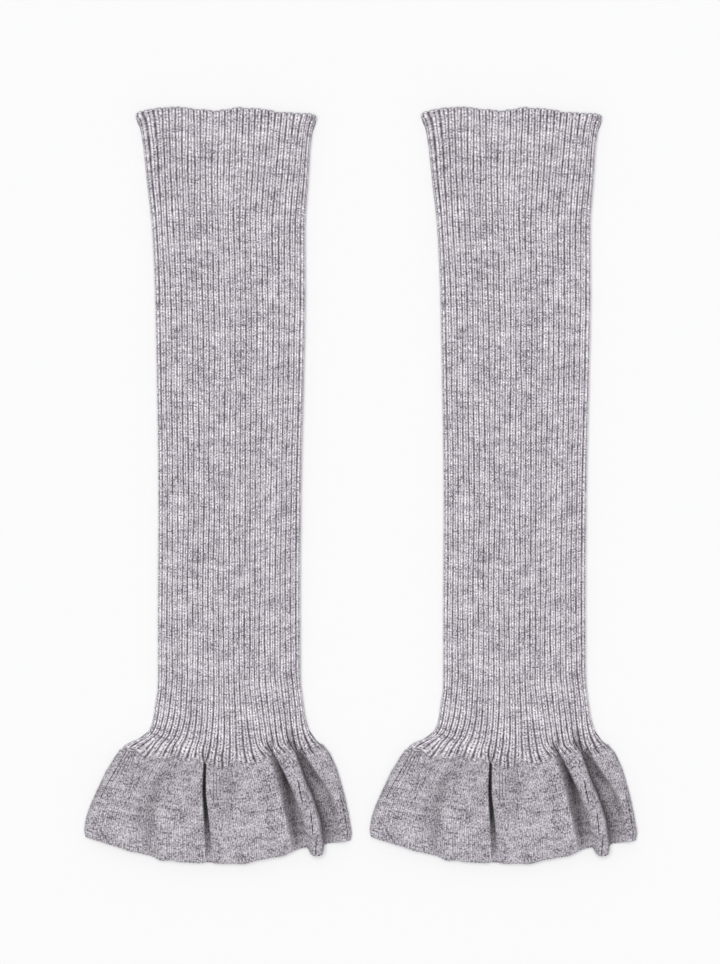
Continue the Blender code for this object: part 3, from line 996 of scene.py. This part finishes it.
# The back layer's troughs: where each runs, how wide it is and how far it lifts the cloth
Trough = namedtuple("Trough", "at_seam at_hem width lift")
BACK_TROUGHS = (
    Trough(-45.0, -57.0, 5.5, 1.1),
    Trough(8.0, 17.0, 6.5, 1.2),
    Trough(31.5, 49.0, 4.0, 1.5),
    Trough(-22.0, -26.0, 3.5, 0.6),
)


def back_lift(across, along):
    """How far the back layer stands off the surface where its soft troughs run."""
    lift = 0.0
    for trough in BACK_TROUGHS:
        middle = mix(trough.at_seam, trough.at_hem, along)
        bell = np.exp(-((across - middle) / trough.width) ** 2)
        lift = lift + trough.lift * bell * ease((along - 0.1) / 0.5)
    return lift


def flounce_inside(front):
    """The plain inside of the flounce, a wall's thickness in from its outer face."""
    v = front.v[::INNER_STEP]
    along = (v / FLOUNCE_COURSES)[:, None]
    outer = front.points[::INNER_STEP]
    inner = outer[:, :-1:len(WALE_COLUMNS)].copy()
    left, right = outer[:, :1, 0], outer[:, -1:, 0]
    share = share_of(inner[..., 0], left, right)
    inner[..., 0] = mix(left + FLOUNCE_WALL, right - FLOUNCE_WALL, share)
    reach = np.linspace(-FLOUNCE_WALL, FLOUNCE_WALL, 21)
    arch = np.sqrt(np.maximum(FLOUNCE_WALL ** 2 - reach ** 2, 0.0))
    for inner_row, outer_row in zip(inner, outer):
        across, _, height = outer_row[np.argsort(outer_row[:, 0])].T
        sunk = np.interp(inner_row[:, :1] + reach, across, height) - arch
        inner_row[:, 2] = sunk.min(axis=1)
    lowest = INNER_HEIGHT + INNER_GAP + back_lift(inner[..., 0], along)
    inner[..., 2] = np.maximum(inner[..., 2], lowest)
    across, down = flounce_plain(WALES - np.arange(WALES), v, FLOUNCE_WALL)
    back = stacked(across, down, INNER_HEIGHT + back_lift(across, along))
    return Layer(np.concatenate((inner, back), axis=1), 0.0, 0.0, np.arange(2.0 * WALES), v)


def build_flounce():
    """The flounce's shell."""
    front = flounce_front()
    return closed_shell(front, flounce_back(front), flounce_inside(front), 0.0, HEM_ROLL)


# Yarn


class Nodes:
    """A new material and its nodes, each fed by numbers or by other nodes' outputs."""

    def __init__(self, name):
        self.material = bpy.data.materials.new(name)
        self.material.use_nodes = True
        self.tree = self.material.node_tree
        self.shader = self.tree.nodes["Principled BSDF"]

    def feed(self, node, inputs):
        """Gives a node its inputs."""
        for key, value in inputs.items():
            if isinstance(value, bpy.types.NodeSocket):
                self.tree.links.new(value, node.inputs[key])
            else:
                node.inputs[key].default_value = value

    def add(self, kind, inputs, output=0, **settings):
        """The output of that number of a new node of this kind."""
        node = self.tree.nodes.new(kind)
        for name, value in settings.items():
            setattr(node, name, value)
        self.feed(node, inputs)
        return node.outputs[output]

    def maths(self, operation, *values):
        """The result of one sum."""
        return self.add("ShaderNodeMath", dict(enumerate(values)), operation=operation)

    def times(self, first, *others):
        """The product of several values."""
        for other in others:
            first = self.maths("MULTIPLY", first, other)
        return first

    def less(self, value, other):
        """One value less another."""
        return self.maths("SUBTRACT", value, other)

    def off_middle(self, share):
        """How far a share lies from a half."""
        return self.maths("ABSOLUTE", self.less(share, 0.5))

    def scaled(self, value, low_in, high_in, low_out, high_out):
        """A value taken smoothly from one range to another."""
        inputs = {0: value, 1: low_in, 2: high_in, 3: low_out, 4: high_out}
        return self.add("ShaderNodeMapRange", inputs, interpolation_type="SMOOTHSTEP")

    def noise(self, u, v, finer, detail, start=0.0):
        """Smooth noise from 0 to 1, with so many features to a wale and to a course."""
        place = {0: self.maths("MULTIPLY_ADD", u, finer[0], start), 1: self.times(v, finer[1])}
        inputs = {"Vector": self.add("ShaderNodeCombineXYZ", place), "Scale": 1.0, "Detail": detail}
        return self.add("ShaderNodeTexNoise", inputs, noise_dimensions="2D")


# How a knit looks: how far its legs fall; how much the stitches' own tones, the marl's streaks, its
# patches and its grain count, and how fine they are; the light that painted shade leaves beside a
# leg and between two stitches; how dark the painted shade in the gap in a wale is; how narrow, wide
# and dark the painted shade along the line between wales is; and three tones
Knit = namedtuple(
    "Knit",
    "dip stitch streak streaks patch patch_start grain grains edge nick gap line dark middle light",
)
RIB_KNIT = Knit(
    dip=STITCH_DIP, stitch=0.15, streak=0.44, streaks=(0.34, 0.8), patch=0.32, patch_start=0.0,
    grain=1.02, grains=(3.4, 2.0), edge=0.86, nick=0.90, gap=0.80, line=(0.06, 0.20, 0.80),
    dark=(0.17, 0.14, 0.185), middle=(0.58, 0.545, 0.595), light=(0.93, 0.89, 0.94),
)
PLAIN_KNIT = Knit(
    dip=FLOUNCE_DIP, stitch=0.15, streak=0.48, streaks=(0.26, 0.62), patch=0.41, patch_start=7.3,
    grain=1.05, grains=(2.2, 1.6), edge=0.78, nick=0.92, gap=0.34, line=(0.04, 0.24, 0.85),
    dark=(0.114, 0.101, 0.124), middle=(0.416, 0.388, 0.431), light=(0.667, 0.636, 0.681),
)
PATCHES = (0.21, 0.16)  # how many there are to a wale and to a course
FIBRES = (14.0, 5.0)
FIBRE_RELIEF = 0.5  # how high the fibres stand, against a leg's round back
PAINTED_HOLLOW_TONE = 0.2  # how much light the painted shade leaves in deep hollows
TONE_RANGE = (0.12, 0.88)  # the noise's values that give the darkest and the lightest yarn
BUMP_STRENGTH = 0.6
BUMP_HEIGHT = 0.0003
YARN_FINISH = {
    "Roughness": 0.92,
    "Specular IOR Level": 0.25,
    "Sheen Weight": 0.08,
    "Sheen Roughness": 0.6,
}


def marl(nodes, knit, u, v, off_middle):
    """The yarn's colour: every stitch has its own tone, in streaks and in soft patches."""
    leg_number = nodes.maths("FLOOR", nodes.times(u, 2.0))
    number = nodes.add("ShaderNodeCombineXYZ", {0: leg_number, 1: nodes.maths("FLOOR", v)})

    # The legs of a stitch slant, but streaks of the marl run straight across them
    fallen = nodes.times(nodes.less(0.5, off_middle), 2 * knit.dip)
    straight = nodes.maths("ADD", v, fallen)
    sources = (
        (nodes.add("ShaderNodeTexWhiteNoise", {"Vector": number}), knit.stitch),
        (nodes.noise(u, straight, knit.streaks, 1.0), knit.streak),
        (nodes.noise(u, straight, PATCHES, 2.0, knit.patch_start), knit.patch),
        (nodes.noise(u, straight, knit.grains, 0.5), knit.grain),
    )
    tone = 0.5
    for source, share in sources:
        tone = nodes.maths("ADD", nodes.times(nodes.less(source, 0.5), share), tone)
    ramp = nodes.add("ShaderNodeValToRGB", {0: tone})
    darkest, lightest = ramp.node.color_ramp.elements
    darkest.position, lightest.position = TONE_RANGE
    darkest.color = (*knit.dark, 1.0)
    lightest.color = (*knit.light, 1.0)
    ramp.node.color_ramp.elements.new(0.5).color = (*knit.middle, 1.0)
    return ramp


def painted_light_left(nodes, knit, off_middle, off_leg, off_stitch):
    """Painted shade: the light left where yarns meet, between two wales and down in hollows."""
    # painted shade beside each leg, between two stitches and, dotted, in the middle of each wale
    beside = nodes.scaled(off_leg, 0.26, 0.5, 1.0, knit.edge)
    between = nodes.scaled(off_stitch, 0.28, 0.5, 1.0, knit.nick)
    in_middle = nodes.scaled(off_middle, 0.02, 0.15, 1.0, 0.0)
    dotted = nodes.scaled(off_stitch, 0.1, 0.42, 0.3, 1.0)
    gap = nodes.times(in_middle, dotted, knit.gap)
    narrow, wide, strength = knit.line
    line_shade = nodes.scaled(off_middle, 0.5 - wide, 0.5 - narrow, 0.0, strength)
    # the mesh's painted shade: along the lines between wales, and in hollows, creases, gaps and by the
    # seam
    line = nodes.add("ShaderNodeAttribute", {}, attribute_name="Line", output=2)
    shade = nodes.add("ShaderNodeAttribute", {}, attribute_name="Shade", output=2)
    dark = (gap, nodes.times(line, line_shade), nodes.times(shade, 1.0 - PAINTED_HOLLOW_TONE))
    return nodes.times(beside, between, *(nodes.less(1.0, part) for part in dark))


def make_yarn(name, knit):
    """Marl yarn, knitted: its colour, painted shade in its gaps, and its relief down to the fibres."""
    nodes = Nodes(name)
    uv = nodes.add("ShaderNodeUVMap", {}, uv_map="Stitches")
    u = nodes.add("ShaderNodeSeparateXYZ", {0: uv})
    v = u.node.outputs[1]
    off_middle = nodes.off_middle(nodes.maths("FRACT", u))
    off_leg = nodes.off_middle(nodes.maths("FRACT", nodes.times(u, 2.0)))
    off_stitch = nodes.off_middle(nodes.maths("FRACT", v))
    ramp = marl(nodes, knit, u, v, off_middle)
    light = painted_light_left(nodes, knit, off_middle, off_leg, off_stitch)
    # the colour with the painted shade multiplied in
    grey = nodes.add("ShaderNodeCombineColor", {0: light, 1: light, 2: light})
    factors = {0: 1.0, 6: ramp, 7: grey}
    colour = nodes.add("ShaderNodeMix", factors, output=2, data_type="RGBA", blend_type="MULTIPLY")

    # The legs' round backs and the fibres on them
    round_leg = nodes.scaled(off_leg, 0.1, 0.5, 1.0, 0.0)
    round_stitch = nodes.scaled(off_stitch, 0.1, 0.5, 1.0, 0.35)
    fibres = nodes.times(nodes.noise(u, v, FIBRES, 2.0), FIBRE_RELIEF)
    relief = nodes.maths("ADD", nodes.times(round_leg, round_stitch), fibres)
    height = {"Strength": BUMP_STRENGTH, "Distance": BUMP_HEIGHT, "Height": relief}
    bump = nodes.add("ShaderNodeBump", height)
    nodes.feed(nodes.shader, {"Base Color": colour, "Normal": bump, **YARN_FINISH})
    return nodes.material


# Both legs

rib_yarn = make_yarn("marl_rib_knit", RIB_KNIT)
plain_yarn = make_yarn("marl_plain_knit", PLAIN_KNIT)
tube_shell = build_tube()
flounce_shell = build_flounce()
widest_left = min(edge.left for edge in FLOUNCE_EDGES)
widest_right = max(edge.right for edge in FLOUNCE_EDGES)
first_centre = -(LEG_PITCH + widest_left + widest_right) / 2
for index, leg in enumerate(("left_leg", "right_leg")):
    centre = first_centre + index * LEG_PITCH
    tube = make_piece(leg + "_ribbed_knit", tube_shell, centre, rib_yarn)
    flounce = make_piece(leg + "_flounce_knit", flounce_shell, centre, plain_yarn)
    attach(tube, "root")
    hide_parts(leg + "_ribbed_tube")
    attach(flounce, "root")
    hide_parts(leg + "_flounce")

# Floor, light and camera

FLOOR_SIZE = 6.0
FLOOR_COLOUR = (0.73, 0.73, 0.735, 1.0)
FLOOR_ROUGHNESS = 0.9
FLOOR_DROP = 0.0001  # how far the floor lies below the cloth, so that the two don't coincide
floor_data = bpy.data.meshes.new("floor")
reach = FLOOR_SIZE / 2
corners = [(-reach, -reach, 0), (reach, -reach, 0), (reach, reach, 0), (-reach, reach, 0)]
floor_data.from_pydata(corners, [], [(0, 1, 2, 3)])
floor = add_object("floor", floor_data)
floor.location.z = -FLOOR_DROP
floor_paint = Nodes("pale_floor")
floor_paint.feed(floor_paint.shader, {"Base Color": FLOOR_COLOUR, "Roughness": FLOOR_ROUGHNESS})
floor_data.materials.append(floor_paint.material)

KEY_STRENGTH = 2.9
KEY_SOFTNESS = 38.0  # the angle that the light spans, in degrees
KEY_FROM = (-0.06, 0.04, 1.0)
FILL_STRENGTH = 0.40
WHITE = (1.0, 1.0, 1.0, 1.0)
key_data = bpy.data.lights.new("key_light", "SUN")
key_data.energy = KEY_STRENGTH
key_data.angle = math.radians(KEY_SOFTNESS)
key = add_object("key_light", key_data)
key.rotation_mode = "QUATERNION"
key.rotation_quaternion = Vector(KEY_FROM).to_track_quat("Z", "Y")

world = bpy.data.worlds.new("studio")
scene.world = world
world.use_nodes = True
background = world.node_tree.nodes["Background"]
background.inputs["Color"].default_value = WHITE
background.inputs["Strength"].default_value = FILL_STRENGTH

PHOTO_HEIGHT = 546.5  # what the picture's height spans
PHOTO_CENTRE = (-0.37, 1.9)
CAMERA_HEIGHT = 3000.0
SENSOR_WIDTH = 36.0
camera_data = bpy.data.cameras.new("camera")
camera_data.sensor_width = SENSOR_WIDTH
camera_data.lens = SENSOR_WIDTH * CAMERA_HEIGHT / PHOTO_HEIGHT
camera = add_object("camera", camera_data)
camera.location = [value * MILLIMETRE for value in (*PHOTO_CENTRE, CAMERA_HEIGHT)]
scene.camera = camera
scene.view_settings.view_transform = "Standard"
